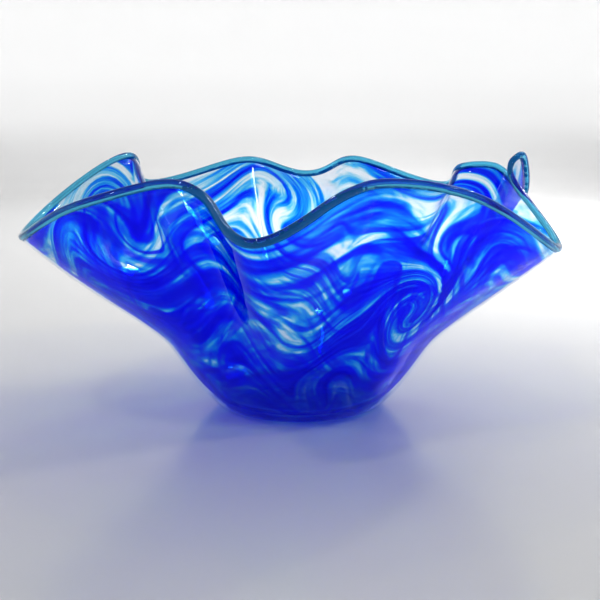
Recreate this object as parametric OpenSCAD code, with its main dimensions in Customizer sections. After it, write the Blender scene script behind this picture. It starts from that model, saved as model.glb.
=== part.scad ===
/* [Bowl] */
// Diameter of the flat ground on the underside
base_d = 90; // [70:1:110]
// Diameter of the round cup where the flutes begin
cup_d = 156; // [130:1:185]
// Height of the round cup above the table
cup_h = 38; // [30:1:46]
// Slope of the side of the cup where the flutes begin, in degrees
cup_slope = 60; // [50:1:68]
// Reach of the outermost flute tip from the middle
tip_reach = 166; // [138:1:200]
// Height of the tallest peak of the rim
rim_h = 151; // [125:1:182]

/* [Flutes] */
// How far the deepest fold is drawn in from the outermost tip
fold_depth = 38; // [20:1:44]
// How far the lowest tip hangs below the tallest peak
tip_drop = 50; // [30:1:60]
// Slope of the wall at a low tip, in degrees
tip_slope = 40; // [28:1:50]
// Slope of the wall at a high peak, in degrees
peak_slope = 72; // [60:1:82]

/* [Glass] */
// Thickness of the clear gather that lines the bowl
inner_t = 1.3; // [0.9:0.1:1.8]
// Thickness of the swirled colour between the clear layers
colour_t = 0.8; // [0.5:0.1:1.2]
// Thickness of the clear casing on the outside
casing_t = 1.3; // [0.9:0.1:1.8]
// Extra clear glass left under the middle of the bowl
heel_t = 5; // [0:0.5:8]

/* [Lip] */
// Height of the glass thread laid along the rim
lip_w = 4.2; // [2.5:0.1:6]
// How far the thread stands proud of each face of the wall
lip_proud = 0.7; // [0.3:0.1:1.2]

/* [Hidden] */

// The rim, counter-clockwise from the right: the direction of each peak, tip or
// shoulder in degrees, its share of fold_depth drawn in, and its share of tip_drop.
flutes = [
    [-18, 0.32, 1.00],
    [10.5, 0.84, 0.26],
    [14, 0.53, 0.00],
    [24, 0.05, 0.58],
    [29, 0.38, 0.19],
    [37, 0.78, 0.21],
    [52, 0.01, 0.52],
    [72.5, 0.90, 0.12],
    [88, 0.00, 0.40],
    [107.5, 0.93, 0.13],
    [131.5, 0.02, 0.49],
    [149, 0.76, 0.03],
    [191.5, 0.08, 0.87],
    [222, 0.34, 0.41],
    [239.5, 0.90, 0.16],
    [249.5, 0.90, 0.29],
    [262.5, 0.07, 0.64],
    [278.5, 0.70, 0.24],
    [290, 0.88, 0.14],
    [308.5, 0.63, 0.31]
];
steps = 5;        // columns of the wall from one row of flutes to the next
flat_rings = 2;   // rings of the wall across the ground flat
cup_rings = 4;    // rings round the cup
wall_rings = 8;   // rings from the cup to the lip
columns = len(flutes) * steps;
rings = flat_rings + cup_rings + wall_rings;

// Pull of the cup and of the lip on the curve of the wall between them
cup_pull = 0.16;
lip_pull = 0.47;
// Angles of the thread's round face, from the outside over the top to the inside
lip_angles = [195, 165, 130, 90, 50, 15, -15];

// A smooth closed curve through the rows of flutes. The direction never turns back,
// so that the wall never folds over itself.
function row(i) = let (n = len(flutes), turn = floor(i / n))
    flutes[i - turn * n] + [360 * turn, 0, 0];
function gap(i) = row(i + 1)[0] - row(i)[0];
function rate(i) = let (mean = (row(i + 1) - row(i - 1)) / 2)
    [min(mean[0], 2 * gap(i - 1), 2 * gap(i)), mean[1], mean[2]];
function hermite(a, b, rate_a, rate_b, t) =
    a + t * rate_a + t * t * (3 * (b - a) - 2 * rate_a - rate_b) + t * t * t * (rate_a + rate_b - 2 * (b - a));
function rim_row(k) = let (i = floor(k / steps))
    hermite(row(i), row(i + 1), rate(i), rate(i + 1), k / steps - i);

// Points along two kinds of curve in the upright plane through the middle
function bezier2(a, b, c, t) = (1 - t) * (1 - t) * a + 2 * t * (1 - t) * b + t * t * c;
function bezier3(a, b, c, d, t) =
    (1 - t) * (1 - t) * (1 - t) * a + 3 * t * (1 - t) * (1 - t) * b + 3 * t * t * (1 - t) * c + t * t * t * d;
function heading(angle) = [cos(angle), sin(angle)];

base_r = base_d / 2;
cup_edge = [cup_d / 2, cup_h];
cup_corner = [max(base_r, cup_d / 2 - cup_h / tan(cup_slope)), 0];

// Reach and height of the wall's outside in column k, s running from 0 at the cup to 1 at the lip
function wall_curve(k, s) = let (
    r = rim_row(k),
    rim = [tip_reach - fold_depth * r[1], rim_h - tip_drop * r[2]],
    high = min(1, max(0, 1 - r[2])),
    slope = tip_slope + (peak_slope - tip_slope) * high,
    span = norm(rim - cup_edge),
    end = 1 - lip_w / (3 * lip_pull * span)
) bezier3(
    cup_edge,
    cup_edge + cup_pull * span * heading(cup_slope),
    rim - lip_pull * span * heading(slope),
    rim,
    s * end
);

// Outside of the bowl: ring j rises from the middle of the flat to the lip
function outside(k, j) = let (
    p = j <= flat_rings ? [base_r * j / flat_rings, 0]
        : j <= flat_rings + cup_rings ? bezier2([base_r, 0], cup_corner, cup_edge, (j - flat_rings) / cup_rings)
        : wall_curve(k, (j - flat_rings - cup_rings) / wall_rings),
    turn = rim_row(k)[0]
) [p[0] * cos(turn), p[0] * sin(turn), p[1]];

skin = [for (j = [0:rings]) [for (k = [0:columns - 1]) outside(k, j)]];

function unit(v) = v / norm(v);
function along(j, k) = skin[min(j + 1, rings)][k] - skin[max(j - 1, 0)][k];
function around(j, k) = skin[j][(k + 1) % columns] - skin[j][(k + columns - 1) % columns];
inward = [for (j = [0:rings]) [for (k = [0:columns - 1])
    j < flat_rings ? [0, 0, 1] : unit(cross(along(j, k), around(j, k)))]];

// The heel thins out from the middle of the flat to the edge of the cup
function heel(j) = let (s = max(0, 1 - j / (flat_rings + cup_rings))) heel_t * s * s * (3 - 2 * s);
function sheet(depth) = [for (j = [0:rings]) [for (k = [0:columns - 1])
    skin[j][k] + inward[j][k] * (depth == 0 ? 0 : depth + heel(j))]];

// One layer of glass between two depths under the outside
module layer(near, far) {
    outer = sheet(near);
    inner = sheet(far);
    ring_points = function (s) [for (j = [1:rings]) each s[j]];
    half = rings * columns + 1;
    points = concat([outer[0][0]], ring_points(outer), [inner[0][0]], ring_points(inner));
    at = function (j, k) 1 + (j - 1) * columns + k % columns;
    faces = [
        for (k = [0:columns - 1]) each [
            [0, at(1, k), at(1, k + 1)],
            [half, half + at(1, k + 1), half + at(1, k)],
            for (j = [1:rings - 1]) each [
                [at(j, k), at(j + 1, k), at(j + 1, k + 1)],
                [at(j, k), at(j + 1, k + 1), at(j, k + 1)],
                [half + at(j, k), half + at(j + 1, k + 1), half + at(j + 1, k)],
                [half + at(j, k), half + at(j, k + 1), half + at(j + 1, k + 1)]
            ],
            [at(rings, k), half + at(rings, k), half + at(rings, k + 1)],
            [at(rings, k), half + at(rings, k + 1), at(rings, k + 1)]
        ]
    ];
    polyhedron(points, faces, convexity = 10);
}

module outer_casing() {
    color("lightcyan", 0.5) layer(0, casing_t);
}

module colour_layer() {
    color("mediumblue", 0.9) layer(casing_t, casing_t + colour_t);
}

module inner_gather() {
    color("azure", 0.5) layer(casing_t + colour_t, casing_t + colour_t + inner_t);
}

// Section of the thread in column k: the wall's edge, then the round face from inside to outside
function lip_section(k) = let (
    wall_t = casing_t + colour_t + inner_t,
    edge = skin[rings][k],
    across = inward[rings][k],
    up = unit(along(rings, k)),
    middle = edge + across * wall_t / 2 + up * lip_w * 0.45
) concat(
    [for (depth = [0, casing_t, casing_t + colour_t, wall_t]) edge + across * depth],
    [for (i = [len(lip_angles) - 1:-1:0])
        middle + across * cos(lip_angles[i]) * (wall_t / 2 + lip_proud) + up * sin(lip_angles[i]) * lip_w * 0.55]
);

module lip_wrap() {
    sides = 4 + len(lip_angles);
    points = [for (k = [0:columns - 1]) each lip_section(k)];
    at = function (k, i) (k % columns) * sides + i % sides;
    faces = [
        for (k = [0:columns - 1]) for (i = [0:sides - 1]) each [
            [at(k, i), at(k + 1, i + 1), at(k, i + 1)],
            [at(k, i), at(k + 1, i), at(k + 1, i + 1)]
        ]
    ];
    color("steelblue", 0.9) polyhedron(points, faces, convexity = 10);
}

inner_gather();
colour_layer();
outer_casing();
lip_wrap();
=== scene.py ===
# %% [markdown]
# # A fluted art glass bowl
# The bowl is blown and cased: a clear gather, a thin layer of swirled blue colour, and a clear
# casing over it, with a teal glass thread laid round the lip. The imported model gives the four
# solids in metres. This lesson rounds a copy of each one, makes the glass, and lights it.

import math

import bpy
import numpy as np
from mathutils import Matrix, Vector
from mathutils.bvhtree import BVHTree


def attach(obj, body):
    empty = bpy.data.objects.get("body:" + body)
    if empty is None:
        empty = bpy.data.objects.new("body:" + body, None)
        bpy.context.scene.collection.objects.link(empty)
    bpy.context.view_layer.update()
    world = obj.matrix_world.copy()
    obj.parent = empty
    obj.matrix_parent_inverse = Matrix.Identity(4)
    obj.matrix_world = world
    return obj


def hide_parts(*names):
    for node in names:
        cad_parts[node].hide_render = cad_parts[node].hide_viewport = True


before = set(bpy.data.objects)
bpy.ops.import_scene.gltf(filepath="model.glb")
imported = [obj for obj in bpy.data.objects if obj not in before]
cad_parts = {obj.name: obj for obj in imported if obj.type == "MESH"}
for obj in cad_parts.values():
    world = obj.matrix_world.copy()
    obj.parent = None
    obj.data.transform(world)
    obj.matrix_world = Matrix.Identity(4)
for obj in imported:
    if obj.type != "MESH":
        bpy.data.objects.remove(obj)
bpy.context.view_layer.update()
scene = bpy.context.scene

# %% [markdown]
# ## Camera
# The bowl is seen from a little above the lip, so that the inside of the far wall shows over the
# near one. A camera looks along its own -Z axis. Turned a quarter turn about X it looks level
# along +Y, and a little less than that tips it down at the bowl.

# %% Camera
CAMERA_PLACE = (0, -0.5879, 0.1744)
CAMERA_DIPS = 10.68  # degrees below level
SENSOR = 36.0  # mm
FOCAL_LENGTH = 59.23  # mm, for a view 33.8 degrees wide

bpy.ops.object.select_all(action="DESELECT")
bpy.ops.object.camera_add(location=CAMERA_PLACE, rotation=(math.radians(90 - CAMERA_DIPS), 0, 0))
camera = bpy.context.object
camera.name = "camera"
camera.data.sensor_width = SENSOR
camera.data.lens = FOCAL_LENGTH
scene.camera = camera
print("camera", camera.location[:], "dips", CAMERA_DIPS, "degrees")

# %% [markdown]
# ## Colours and nodes
# Colours are written as the hex values of a paint chart. Those are sRGB values, which are not
# amounts of light, so one function turns them into the linear values that a render works with.
# One more function adds a node with its settings and its links.

# %% Helpers for materials
def linear(hex_colour):
    """The linear RGBA of an sRGB colour such as "#1A2BFF"."""
    shares = [int(hex_colour[i : i + 2], 16) / 255 for i in (1, 3, 5)]
    return tuple(s / 12.92 if s <= 0.04045 else ((s + 0.055) / 1.055) ** 2.4 for s in shares) + (1.0,)


def add_node(tree, kind, inputs=None, **settings):
    """Adds a node. settings are its own options, and inputs are values or the sockets to link."""
    node = tree.nodes.new(kind)
    for name, value in settings.items():
        setattr(node, name, value)
    for name, value in (inputs or {}).items():
        if isinstance(value, bpy.types.NodeSocket):
            tree.links.new(value, node.inputs[name])
        else:
            node.inputs[name].default_value = value
    return node


def new_material(name):
    """An empty node material and its output node."""
    material = bpy.data.materials.new(name)
    material.use_nodes = True
    material.node_tree.nodes.clear()
    return material, add_node(material.node_tree, "ShaderNodeOutputMaterial")


# %% [markdown]
# ## Table and light tent
# Glass is best seen in a light tent: a pale table that curves up all round, with no horizon,
# into a lit wall. A round sheet is made and its edge is extruded outwards and upwards in small
# steps, first along a quarter circle and then straight up.

# %% Tent shape
TABLE_RADIUS = 1.6  # m
BEND_RADIUS = 0.9  # m
BEND_STEPS = 14
WALL_TOP = 2.6  # m
TABLE_GAP = 0.0003  # m, keeps the paper off the ground foot, so that no two faces share a plane

bpy.ops.mesh.primitive_circle_add(
    vertices=128, radius=TABLE_RADIUS, fill_type="NGON", location=(0, 0, -TABLE_GAP)
)
tent = bpy.context.object
tent.name = "light_tent"
bpy.ops.object.mode_set(mode="EDIT")
bpy.ops.mesh.select_mode(type="EDGE")
bpy.ops.mesh.select_all(action="DESELECT")
bpy.ops.mesh.select_non_manifold()
profile = [
    (TABLE_RADIUS + BEND_RADIUS * math.sin(turn), BEND_RADIUS * (1 - math.cos(turn)))
    for turn in (math.pi / 2 * step / BEND_STEPS for step in range(1, BEND_STEPS + 1))
]
profile.append((TABLE_RADIUS + BEND_RADIUS, WALL_TOP))
reach, height = TABLE_RADIUS, 0.0
for wider, higher in profile:
    bpy.ops.mesh.extrude_region_move(TRANSFORM_OT_translate={"value": (0, 0, higher - height)})
    bpy.ops.transform.resize(value=(wider / reach, wider / reach, 1))
    reach, height = wider, higher
bpy.ops.object.mode_set(mode="OBJECT")
bpy.ops.object.shade_smooth()
print("tent has", len(tent.data.polygons), "faces and is", round(tent.dimensions.x, 2), "m wide")

# %% [markdown]
# The sheet is matt white paper, faintly fibrous. Its wall is lit from outside, brightest low
# down, so it glows: Emission that grows with height and fades again towards the top.

# %% Paper of the tent
FIBRES_PER_METRE = 900.0  # so they lie a little over 1 mm apart
# share of the wall's height, and how strongly it glows there
GLOW = [(0.0, 0.0), (0.015, 0.13), (0.06, 0.38), (0.11, 0.45), (0.18, 0.45), (0.34, 0.10), (1.0, 0.0)]
paper, out = new_material("backlit_white_paper")
tree = paper.node_tree
where = add_node(tree, "ShaderNodeTexCoord")
fibres = add_node(
    tree,
    "ShaderNodeTexNoise",
    {"Vector": where.outputs["Object"], "Scale": FIBRES_PER_METRE, "Detail": 3.0},
)
grain = add_node(
    tree, "ShaderNodeBump", {"Height": fibres.outputs["Fac"], "Strength": 0.04, "Distance": 0.0004}
)
height = add_node(tree, "ShaderNodeSeparateXYZ", {"Vector": where.outputs["Object"]})
glow = add_node(tree, "ShaderNodeValToRGB")
rise = add_node(
    tree,
    "ShaderNodeMapRange",
    {"Value": height.outputs["Z"], "From Min": 0.0, "From Max": WALL_TOP},
)
tree.links.new(rise.outputs["Result"], glow.inputs["Fac"])
while len(glow.color_ramp.elements) < len(GLOW):
    glow.color_ramp.elements.new(0.5)
for stop, (at, strength) in zip(glow.color_ramp.elements, GLOW):
    stop.position = at
    stop.color = (strength, strength, strength, 1)
matt = add_node(
    tree,
    "ShaderNodeBsdfPrincipled",
    {
        "Base Color": linear("#E6E6E6"),
        "Roughness": 0.20,
        "Specular IOR Level": 0.6,
        "Normal": grain.outputs["Normal"],
        "Emission Color": glow.outputs["Color"],
        "Emission Strength": 1.0,
    },
)
tree.links.new(matt.outputs[0], out.inputs["Surface"])
paper.cycles.emission_sampling = "NONE"
tent.data.materials.append(paper)

# %% [markdown]
# ## Light
# Glass shows what is around it, so a studio lights it with boxes of light. A broad one overhead
# lays the soft shadow under the bowl, and a long one brightens the table behind it, so that the
# glass is lit through. Small bright panes all round leave crisp highlights. An area light does
# for each. The panes are hidden from the camera, and only their reflections show.

# %% Lights
def soft_box(name, place, aim, size, watts, colour):
    """A rectangular area light of this size that faces a point."""
    towards = Vector(aim) - Vector(place)
    turned = towards.to_track_quat("-Z", "Y").to_euler()
    bpy.ops.object.light_add(type="AREA", location=place, rotation=turned)
    light = bpy.context.object
    light.name = name
    light.data.shape = "RECTANGLE"
    light.data.size, light.data.size_y = size
    light.data.energy = watts
    light.data.color = linear(colour)[:3]
    print(name, "is", round(towards.length, 2), "m away, with", watts, "W")
    return light


soft_box("window", (0.30, 0.35, 1.60), (0, 0, 0.05), (0.70, 0.70), 0.5, "#FFFFFF")
back = soft_box("back_glow", (0.45, 1.05, 0.90), (0.30, 0.95, 0.0), (1.3, 0.5), 6.5, "#FFFFFF")
back.data.spread = math.radians(95)
# name, place and size in metres, watts
PANES = [
    ("right_pane", (1.15, -0.36, 1.08), (0.115, 0.165), 2.8),
    ("front_pane", (-0.44, -0.70, 1.36), (0.090, 0.130), 1.7),
    ("far_pane", (0.92, 0.84, 1.00), (0.085, 0.120), 1.7),
    ("left_pane", (-1.00, -0.75, 1.05), (0.085, 0.120), 1.5),
    ("top_back_pane", (-0.15, 0.75, 1.45), (0.055, 0.080), 0.6),
]
for name, place, size, watts in PANES:
    pane = soft_box(name, place, (0, 0, 0.08), size, watts, "#FFFFFF")
    pane.visible_camera = False

# %% [markdown]
# A little even light comes from above the open top of the tent.

# %% Sky over the tent
world = bpy.data.worlds.new("studio_air")
world.use_nodes = True
tree = world.node_tree
tree.nodes.clear()
sky = add_node(tree, "ShaderNodeBackground", {"Color": linear("#F2F3F4"), "Strength": 0.03})
world_out = add_node(tree, "ShaderNodeOutputWorld")
tree.links.new(sky.outputs[0], world_out.inputs["Surface"])
scene.world = world

# %% [markdown]
# A ray of light that meets the bowl may cross a dozen glass surfaces before it leaves, and each
# crossing is a bounce. The usual limits would stop it inside and leave black patches. The
# plain view transform keeps the blue as strong as the glass makes it.

# %% Bounces and view
scene.cycles.max_bounces = 24
scene.cycles.transmission_bounces = 20
scene.cycles.transparent_max_bounces = 40
scene.cycles.glossy_bounces = 8
scene.view_settings.view_transform = "Standard"
scene.view_settings.look = "None"
scene.view_settings.exposure = 0.2
scene.view_settings.gamma = 0.80

# %% [markdown]
# ## Rounding the solids
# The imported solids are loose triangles, thousands of small flats. A copy is welded, its
# triangles are paired back into the quads they were cut from, the sharp edge at the lip is
# creased so that it stays crisp, and a Subdivision Surface rounds everything else.

# %% A welded copy
WELD = 1e-6  # m


def welded_copy(node_name, piece_name):
    """A copy of a CAD node, the only thing selected, with its loose triangles welded."""
    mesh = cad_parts[node_name].data.copy()
    mesh.materials.clear()
    piece = bpy.data.objects.new(piece_name, mesh)
    scene.collection.objects.link(piece)
    bpy.ops.object.select_all(action="DESELECT")
    piece.select_set(True)
    bpy.context.view_layer.objects.active = piece
    bpy.ops.object.mode_set(mode="EDIT")
    bpy.ops.mesh.select_all(action="SELECT")
    bpy.ops.mesh.remove_doubles(threshold=WELD)
    bpy.ops.object.mode_set(mode="OBJECT")
    return piece


# %% [markdown]
# Two triangles that came from one quad are paired again. Only the fan of triangles round the
# middle of the bowl is left as it is.

# %% Triangles to quads
def pick_faces(mesh, wanted):
    """Selects the faces for which wanted(face) is true, and nothing else."""
    for vertex in mesh.vertices:
        vertex.select = False
    for edge in mesh.edges:
        edge.select = False
    for face in mesh.polygons:
        face.select = wanted(face)


def pair_triangles(mesh):
    """Turns the active mesh's triangles into quads, all but the fan in the middle."""
    middle = {v.index for v in mesh.vertices if math.hypot(v.co.x, v.co.y) < WELD}
    pick_faces(mesh, lambda face: not middle.intersection(face.vertices))
    bpy.ops.object.mode_set(mode="EDIT")
    bpy.ops.mesh.select_mode(type="FACE")
    bpy.ops.mesh.tris_convert_to_quads(
        face_threshold=math.pi, shape_threshold=math.pi, topology_influence=1.0
    )
    bpy.ops.object.mode_set(mode="OBJECT")


def draw_in(distance):
    """Moves the whole skin of the active mesh inwards."""
    bpy.ops.object.mode_set(mode="EDIT")
    bpy.ops.mesh.select_all(action="SELECT")
    bpy.ops.transform.shrink_fatten(value=-distance)
    bpy.ops.object.mode_set(mode="OBJECT")


# %% [markdown]
# An edge counts as sharp if its two faces meet at more than 55 degrees, as they do only along
# the lip. A crease of 1 keeps it sharp, and "rim" keeps a note of its points for later.

# %% Sharp edges, rounding
RIM_ANGLE = math.radians(55)
LEVELS = 2


def crease_rim(mesh):
    """Creases the active mesh's sharp edges, marks their points 1 in "rim", and counts them."""
    bpy.ops.object.mode_set(mode="EDIT")
    bpy.ops.mesh.select_mode(type="EDGE")
    bpy.ops.mesh.select_all(action="DESELECT")
    bpy.ops.mesh.edges_select_sharp(sharpness=RIM_ANGLE)
    bpy.ops.transform.edge_crease(value=1.0)
    bpy.ops.object.mode_set(mode="OBJECT")
    on_rim = np.array([v.select for v in mesh.vertices], np.float32)
    rim = mesh.attributes.new("rim", "FLOAT", "POINT")
    rim.data.foreach_set("value", on_rim)
    return int(on_rim.sum())


def rounded_copy(node_name, piece_name, inset=0.0):
    """A welded, quad-faced and subdivided copy of a CAD node, which it replaces."""
    piece = welded_copy(node_name, piece_name)
    pair_triangles(piece.data)
    if inset:
        draw_in(inset)
    quads = sum(len(face.vertices) == 4 for face in piece.data.polygons)
    sharp = crease_rim(piece.data)
    smooth = piece.modifiers.new("smooth", "SUBSURF")
    smooth.levels = smooth.render_levels = LEVELS
    bpy.ops.object.modifier_apply(modifier="smooth")
    bpy.ops.object.shade_smooth()
    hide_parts(node_name)
    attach(piece, "root")
    print(piece_name, "had", quads, "quads and", sharp, "points on sharp edges, and now has",
          len(piece.data.polygons), "faces")
    return piece


# %% The four pieces of glass
FILM = 0.00004  # m, keeps the colour clear of its neighbours, so that no two faces share a plane
casing = rounded_copy("outer_casing", "clear_casing")
colour = rounded_copy("colour_layer", "swirled_layer", FILM)
gather = rounded_copy("inner_gather", "clear_gather")
thread = rounded_copy("lip_wrap", "lip_thread")

# %% [markdown]
# ## Where the colour runs
# On the real bowl the colour was trailed and stirred on a round bubble, which was spun out and
# fluted afterwards. So the swirls follow the lip up and down over the flutes. Each point of the
# colour gets its place on that bubble: the direction round it, and the share of the way from the
# middle of the foot to the lip. The stirring is done here too, as twists about a few centres.

# %% Places on the bubble
BUBBLE_RADIUS = 0.150  # m
BUBBLE_WALL = 0.190  # m from the foot to the lip
LAP = 2 * math.pi * BUBBLE_RADIUS
MM = 0.001
# direction in degrees, share of the way to the lip, reach in mm, turn in degrees
TWISTS = [
    (-54.6, 0.63, 20, 300),
    (-45.0, 0.84, 34, -110),
    (-136.5, 0.90, 24, 160),
    (-100.0, 0.62, 40, 70),
    (-160.0, 0.66, 34, -120),
    (-8.0, 0.74, 30, 170),
    (30.0, 0.80, 34, -150),
    (62.0, 0.60, 30, 110),
    (95.0, 0.84, 32, -140),
    (128.0, 0.66, 34, 110),
    (158.0, 0.84, 28, -180),
    (186.0, 0.50, 30, 140),
    (-80.0, 0.36, 30, -130),
    (20.0, 0.42, 30, 120),
]


def points_of(piece):
    """The piece's points as an array, in metres."""
    co = np.zeros(len(piece.data.vertices) * 3, np.float32)
    piece.data.vertices.foreach_get("co", co)
    return co.reshape(-1, 3).astype(float)


def reach_and_turn(points):
    """Distance from the middle of the foot, and direction in radians."""
    return np.linalg.norm(points, axis=1), np.arctan2(points[:, 1], points[:, 0])


def rim_of(piece):
    """Directions and distances of the points on the piece's sharp edge, in order."""
    on_rim = np.zeros(len(piece.data.vertices), np.float32)
    piece.data.attributes["rim"].data.foreach_get("value", on_rim)
    reach, turn = reach_and_turn(points_of(piece)[on_rim > 0.999])
    order = np.argsort(turn)
    return turn[order], reach[order]


rim_turn, rim_reach = rim_of(colour)


def on_bubble(points):
    """How far round the bubble and how far up it each point lies, in metres."""
    reach, turn = reach_and_turn(points)
    share = reach / np.interp(turn, rim_turn, rim_reach, period=2 * math.pi)
    return turn * BUBBLE_RADIUS, share * BUBBLE_WALL


def spot(across, up, direction, height, size):
    """Each point's two distances from a spot on the bubble, and how near it is, from 0 to 1."""
    away = across - math.radians(direction) * BUBBLE_RADIUS
    away -= LAP * np.round(away / LAP)
    rise = up - height * BUBBLE_WALL
    return away, rise, np.exp(-(away**2 + rise**2) / (size * MM) ** 2)


def bubble_places(points):
    """Each point's place on the stirred bubble: round it in x and y, and up it in z, in metres."""
    across, up = on_bubble(points)
    for direction, height, size, degrees in TWISTS:
        away, rise, near = spot(across, up, direction, height, size)
        angle = math.radians(degrees) * near
        across += away * (np.cos(angle) - 1) - rise * np.sin(angle)
        up += away * np.sin(angle) + rise * (np.cos(angle) - 1)
    turn = across / BUBBLE_RADIUS
    up = up + 0.012 * np.sin(2 * turn + 0.6) + 0.009 * np.sin(3 * turn - 1.1)
    return np.stack([BUBBLE_RADIUS * np.cos(turn), BUBBLE_RADIUS * np.sin(turn), up], axis=1)


places = bubble_places(points_of(colour)).astype(np.float32)
bubble = colour.data.attributes.new("bubble", "FLOAT_VECTOR", "POINT")
bubble.data.foreach_set("vector", places.ravel())
print("the colour climbs", round(float(places[:, 2].max()) * 1000), "mm up the bubble")

# %% [markdown]
# Frit is spread on by hand, so there is more of it in some places and less in others. Each spot
# adds to the thickness of the colour, or takes from it, and fades out over its reach. The thin
# spot at the front, just below the lip, is a painted reflection: it makes the colour paler where
# the front flute mirrors something bright.

# %% Frit laid on by hand
# direction in degrees, share of the way to the lip, reach in mm, thickness added
FRIT_SPOTS_AND_PAINTED_REFLECTION = [
    (158.0, 0.93, 36, 0.075),
    (26.0, 0.94, 34, 0.070),
    (-2.0, 0.93, 24, 0.030),
    # painted reflection: a thin, pale spot where the front flute mirrors something bright
    (-85.0, 0.84, 15, -0.060),
    (-99.0, 0.44, 18, -0.045),
    (-60.0, 0.42, 20, -0.035),
    (81.0, 0.62, 30, 0.080),
]
across, up = on_bubble(points_of(colour))
extra = sum(
    amount * spot(across, up, direction, height, size)[2]
    for direction, height, size, amount in FRIT_SPOTS_AND_PAINTED_REFLECTION
)
frit_and_painted_reflection = colour.data.attributes.new("frit_and_painted_reflection", "FLOAT", "POINT")
frit_and_painted_reflection.data.foreach_set("value", extra.astype(np.float32))
print("thickness added runs from", round(float(extra.min()), 3), "to", round(float(extra.max()), 3))

# %% [markdown]
# ## Which faces are free
# Glass mirrors only where it meets air. Where two layers are fused there is no surface at all,
# so those faces of each solid get slot 1, which lets light straight through, except on the lip
# thread, where slot 1 is a dense teal. A face is free if no face of another layer lies on it.

# %% Free and fused faces
TOUCH = 0.3 * MM
PARALLEL = 0.7  # the least cosine between the normals of two faces that lie on each other


def tree_of(piece):
    """A search tree over the piece's faces."""
    mesh = piece.data
    return BVHTree.FromPolygons([v.co for v in mesh.vertices], [f.vertices[:] for f in mesh.polygons])


def mark_fused(piece, neighbours):
    """Gives slot 1 to the faces of piece that lie on a neighbour."""
    trees = [tree_of(other) for other in neighbours]
    count = 0
    for face in piece.data.polygons:
        found = [near.find_nearest(face.center, TOUCH) for near in trees]
        fused = any(hit[0] is not None and abs(hit[1].dot(face.normal)) > PARALLEL for hit in found)
        face.material_index = int(fused)
        count += fused
    print(piece.name, ":", count, "of", len(piece.data.polygons), "faces are fused")


mark_fused(casing, [colour, thread])
mark_fused(gather, [colour, thread])
mark_fused(thread, [casing, colour, gather])
mark_fused(colour, [gather, thread])

# %% [markdown]
# ## Clear blown glass
# Soda-lime glass, shaped hot and never ground, so its skin is fire-polished: mirror smooth, with
# faint ripples some 20 mm apart where the jacks and the heat pulled it. The wall is so thin that
# what lies behind it barely shifts. So its skin is made of two shaders: a Transparent one, and a
# mirror that takes over as the skin is seen more edge-on, by Schlick's rule. An IOR of 1.5 would
# mirror 4 percent seen square on, and a little less keeps the blue as deep as it is. Lamps pass
# through the skin too, and so the bowl throws a blue shadow.

# %% Clear glass
FACING_MIRROR = 0.022  # the share mirrored by glass seen square on
SCHLICK_POWER = 5.0


def ripples(tree, apart, depth):
    """A normal with soft ripples this far apart and this deep, in metres."""
    where = add_node(tree, "ShaderNodeTexCoord")
    waves = add_node(
        tree,
        "ShaderNodeTexNoise",
        {"Vector": where.outputs["Object"], "Scale": 1 / apart, "Detail": 1.0, "Roughness": 0.4},
    )
    return add_node(
        tree,
        "ShaderNodeBump",
        {"Height": waves.outputs["Fac"], "Strength": 1.0, "Distance": depth},
    )


# %% The mirror in the skin
clear_glass, out = new_material("fire_polished_soda_lime_glass")
tree = clear_glass.node_tree
rippled = ripples(tree, 22 * MM, 0.6 * MM)
edge_on = add_node(
    tree, "ShaderNodeLayerWeight", {"Blend": 0.5, "Normal": rippled.outputs["Normal"]}
)
steep = add_node(
    tree, "ShaderNodeMath", {0: edge_on.outputs["Facing"], 1: SCHLICK_POWER}, operation="POWER"
)
mirrored = add_node(
    tree,
    "ShaderNodeMath",
    {0: steep.outputs[0], 1: 1 - FACING_MIRROR, 2: FACING_MIRROR},
    operation="MULTIPLY_ADD",
)

# %% [markdown]
# Under the foot the clear glass is thicker, and bends the line of sight up into the colour. So
# the lowest few millimetres look blue, which a thin skin can't do by itself, and a tint stands
# in for it. Lamps and reflections see a skin that is dimmed a little, as by the whole wall.

# %% What passes through the skin
where = add_node(tree, "ShaderNodeTexCoord")
height = add_node(tree, "ShaderNodeSeparateXYZ", {"Vector": where.outputs["Object"]})
above_heel = add_node(
    tree,
    "ShaderNodeMapRange",
    {"Value": height.outputs["Z"], "From Min": 4 * MM, "From Max": 8 * MM},
)
heel_tint = add_node(tree, "ShaderNodeValToRGB", {"Fac": above_heel.outputs["Result"]})
heel_tint.color_ramp.elements[0].color = linear("#3A62E6")
heel_tint.color_ramp.elements[1].color = linear("#FAFCFE")
seen_through = add_node(tree, "ShaderNodeBsdfTransparent", {"Color": heel_tint.outputs["Color"]})
mirror = add_node(
    tree,
    "ShaderNodeBsdfGlossy",
    {"Color": (1, 1, 1, 1), "Roughness": 0.03, "Normal": rippled.outputs["Normal"]},
)
skin = add_node(tree, "ShaderNodeMixShader", {"Fac": mirrored.outputs[0]})
tree.links.new(seen_through.outputs[0], skin.inputs[1])
tree.links.new(mirror.outputs[0], skin.inputs[2])
path = add_node(tree, "ShaderNodeLightPath")
dimmed = add_node(tree, "ShaderNodeBsdfTransparent", {"Color": linear("#BDD4F2")})
switch = add_node(tree, "ShaderNodeMixShader", {"Fac": path.outputs["Is Camera Ray"]})
tree.links.new(dimmed.outputs[0], switch.inputs[1])
tree.links.new(skin.outputs[0], switch.inputs[2])
tree.links.new(switch.outputs[0], out.inputs["Surface"])
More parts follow.
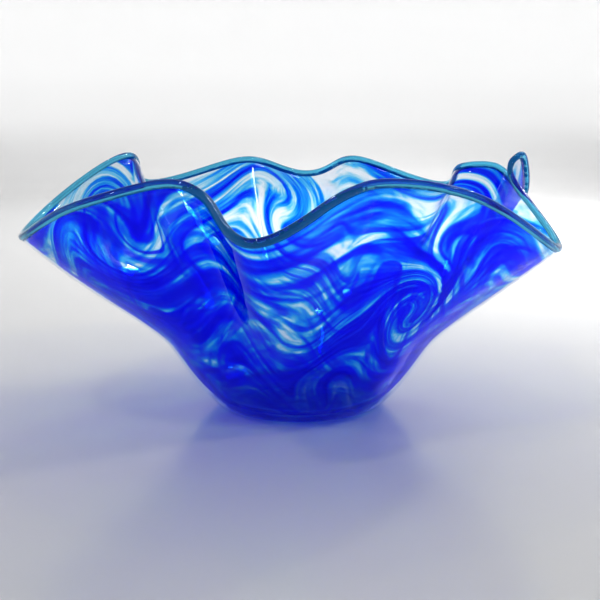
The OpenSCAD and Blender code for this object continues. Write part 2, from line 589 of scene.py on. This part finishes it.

# %% [markdown]
# The foot was ground flat on a wheel, where the bowl was cracked off the iron. Ground glass is
# matt, so the flat scatters a part of the light that would pass. Grit some 1.5 mm apart varies
# how much, which is coarser than the real grit, so that it shows. The flat is also tinted blue:
# a painted reflection of the bowl's colour in the foot, and a painted shade on the floor that is
# seen and lit through it.

# %% Ground foot
ground, out = new_material("ground_glass_painted_reflection_and_shade")
tree = ground.node_tree
where = add_node(tree, "ShaderNodeTexCoord")
grit = add_node(
    tree, "ShaderNodeTexNoise", {"Vector": where.outputs["Object"], "Scale": 1 / (1.5 * MM), "Detail": 2.0}
)
share = add_node(
    tree,
    "ShaderNodeMapRange",
    {"Value": grit.outputs["Fac"], "To Min": 0.15, "To Max": 0.45},
)
# painted blue: a painted reflection of the bowl in the foot, and painted shade on the floor under it
painted_blue_passed = add_node(tree, "ShaderNodeBsdfTransparent", {"Color": linear("#A6BCF2")})
scattered = add_node(tree, "ShaderNodeBsdfTranslucent", {"Color": linear("#93ACEE")})
frosted = add_node(tree, "ShaderNodeMixShader", {"Fac": share.outputs["Result"]})
tree.links.new(painted_blue_passed.outputs[0], frosted.inputs[1])
tree.links.new(scattered.outputs[0], frosted.inputs[2])
tree.links.new(frosted.outputs[0], out.inputs["Surface"])

# %% [markdown]
# Where two layers are fused there is nothing to see, so the joint is a clear Transparent shader.

# %% Fused joint
fused, out = new_material("fused_glass_joint")
joint = add_node(fused.node_tree, "ShaderNodeBsdfTransparent", {"Color": (1, 1, 1, 1)})
fused.node_tree.links.new(joint.outputs[0], out.inputs["Surface"])

# %% [markdown]
# ## Swirled colour
# Frit and powder in blues and white, melted on and stirred. Where it lies thick it is cobalt,
# and as it thins it passes through azure and aqua to almost clear. Two noises read the place on
# the bubble: one, drawn out along the lip, is how thick the colour lies, and a finer one makes
# the threads in it.

# %% Swirled glass
swirled, out = new_material("stirred_blue_frit")
tree = swirled.node_tree
bubble = add_node(tree, "ShaderNodeAttribute", attribute_type="GEOMETRY", attribute_name="bubble")
BAND_LENGTH, BAND_WIDTH = 75 * MM, 14 * MM
THREAD_LENGTH, THREAD_WIDTH = 100 * MM, 4.5 * MM
THREAD_SHARE = 0.36  # how much the threads count beside the bands
drawn = add_node(
    tree,
    "ShaderNodeMapping",
    {"Vector": bubble.outputs["Vector"], "Scale": (1 / BAND_LENGTH, 1 / BAND_LENGTH, 1 / BAND_WIDTH)},
    vector_type="POINT",
)
bands = add_node(
    tree,
    "ShaderNodeTexNoise",
    {"Vector": drawn.outputs["Vector"], "Scale": 1.0, "Detail": 4.0, "Roughness": 0.52,
     "Lacunarity": 2.1, "Distortion": 0.5},
)
pulled = add_node(
    tree,
    "ShaderNodeMapping",
    {"Vector": bubble.outputs["Vector"], "Scale": (1 / THREAD_LENGTH, 1 / THREAD_LENGTH, 1 / THREAD_WIDTH)},
    vector_type="POINT",
)
threads = add_node(
    tree,
    "ShaderNodeTexNoise",
    {"Vector": pulled.outputs["Vector"], "Scale": 1.0, "Detail": 1.0, "Distortion": 0.4},
)
finer = add_node(
    tree,
    "ShaderNodeMath",
    {0: threads.outputs["Fac"], 1: THREAD_SHARE, 2: bands.outputs["Fac"]},
    operation="MULTIPLY_ADD",
)

# %% [markdown]
# The bubble was blown out from its foot, so the colour thins towards the lip. The colour is also
# made thinner, and so paler, towards the far side, away from the camera. Both are taken from its
# thickness, and the frit spots, with the painted reflection among them, are added.

# %% Thickness of the colour
height = add_node(tree, "ShaderNodeSeparateXYZ", {"Vector": bubble.outputs["Vector"]})
stretched = add_node(
    tree,
    "ShaderNodeMapRange",
    {"Value": height.outputs["Z"], "From Min": 0.05, "From Max": 0.19, "To Min": 0.13, "To Max": 0.215},
)
far_side = add_node(
    tree,
    "ShaderNodeMapRange",
    {"Value": height.outputs["Y"], "From Min": 0.02, "From Max": 0.13, "To Min": 0.0, "To Max": 0.075},
)
thinner = add_node(
    tree,
    "ShaderNodeMath",
    {0: finer.outputs[0], 1: stretched.outputs["Result"]},
    operation="SUBTRACT",
)
thickness = add_node(
    tree,
    "ShaderNodeMath",
    {0: thinner.outputs[0], 1: far_side.outputs["Result"]},
    operation="SUBTRACT",
)
# thickness from the frit spots, with the painted reflection at the front among them
spot_thickness = add_node(tree, "ShaderNodeAttribute", attribute_type="GEOMETRY", attribute_name="frit_and_painted_reflection")
with_spots = add_node(
    tree, "ShaderNodeMath", {0: thickness.outputs[0], 1: spot_thickness.outputs["Fac"]}, operation="ADD"
)

# %% [markdown]
# The thickness picks the tint. Light passes through almost all of it, and a little is scattered
# by the powder that didn't quite melt.

# %% Tint by thickness
ramp = add_node(tree, "ShaderNodeValToRGB", {"Fac": with_spots.outputs[0]})
TINTS = [
    (0.330, "#F6FAFE"),
    (0.385, "#CDEDFA"),
    (0.425, "#74D4FA"),
    (0.465, "#28ACFC"),
    (0.515, "#0A74FF"),
    (0.570, "#0238FF"),
    (0.660, "#0114F2"),
]
ramp.color_ramp.interpolation = "LINEAR"
while len(ramp.color_ramp.elements) < len(TINTS):
    ramp.color_ramp.elements.new(0.5)
for stop, (at, tint) in zip(ramp.color_ramp.elements, TINTS):
    stop.position = at
    stop.color = linear(tint)
tinted = add_node(tree, "ShaderNodeBsdfTransparent", {"Color": ramp.outputs["Color"]})
cloudy = add_node(tree, "ShaderNodeBsdfTranslucent", {"Color": ramp.outputs["Color"]})
CLOUDINESS = 0.05
body = add_node(tree, "ShaderNodeMixShader", {"Fac": CLOUDINESS})
tree.links.new(tinted.outputs[0], body.inputs[1])
tree.links.new(cloudy.outputs[0], body.inputs[2])
tree.links.new(body.outputs[0], out.inputs["Surface"])

# %% [markdown]
# ## The lip thread
# A thread of transparent teal glass some 4 mm thick, trailed on hot. It is round, so it works as
# a rod lens, dark at its edges and bright along its middle, and here the light really bends. A
# Principled shader with full transmission does that. Lamps would find no way through it, so
# their rays meet a plain teal Transparent shader instead. Where the thread is fused to the wall,
# a dense teal closes it off.

# %% Teal glass
teal_glass, out = new_material("trailed_teal_glass")
tree = teal_glass.node_tree
rippled = ripples(tree, 9 * MM, 0.12 * MM)
glass = add_node(
    tree,
    "ShaderNodeBsdfPrincipled",
    {
        "Base Color": linear("#55AFCE"),
        "Roughness": 0.0,
        "IOR": 1.40,
        "Transmission Weight": 1.0,
        "Normal": rippled.outputs["Normal"],
    },
)
path = add_node(tree, "ShaderNodeLightPath")
lamps_pass = add_node(tree, "ShaderNodeBsdfTransparent", {"Color": linear("#8FC4DC")})
switch = add_node(tree, "ShaderNodeMixShader", {"Fac": path.outputs["Is Shadow Ray"]})
tree.links.new(glass.outputs[0], switch.inputs[1])
tree.links.new(lamps_pass.outputs[0], switch.inputs[2])
tree.links.new(switch.outputs[0], out.inputs["Surface"])

thread_root, out = new_material("dense_teal_glass")
tree = thread_root.node_tree
dense = add_node(
    tree,
    "ShaderNodeBsdfPrincipled",
    {"Base Color": linear("#2AA2D2"), "Roughness": 0.5, "Specular IOR Level": 0.0},
)
tree.links.new(dense.outputs[0], out.inputs["Surface"])

# %% [markdown]
# ## Glass on the pieces
# Slot 0 of each piece is its free skin and slot 1 its fused joint, as they were marked above.

# %% Glass on the pieces
for piece, skin, joint, slot in (
    (casing, clear_glass, fused, "clear_glass"),
    (gather, clear_glass, fused, "clear_glass"),
    (colour, swirled, fused, "swirled_colour"),
    (thread, teal_glass, thread_root, "teal_glass"),
):
    piece.data.materials.append(skin)
    piece.data.materials.append(joint)
    print(piece.name, "is", skin.name)

FOOT_FLAT = 0.1 * MM
GROUND_SLOT = 2
casing.data.materials.append(ground)
ground_faces = [f for f in casing.data.polygons if f.center.z < FOOT_FLAT]
for face in ground_faces:
    face.material_index = GROUND_SLOT
print(len(ground_faces), "faces of the foot are ground")
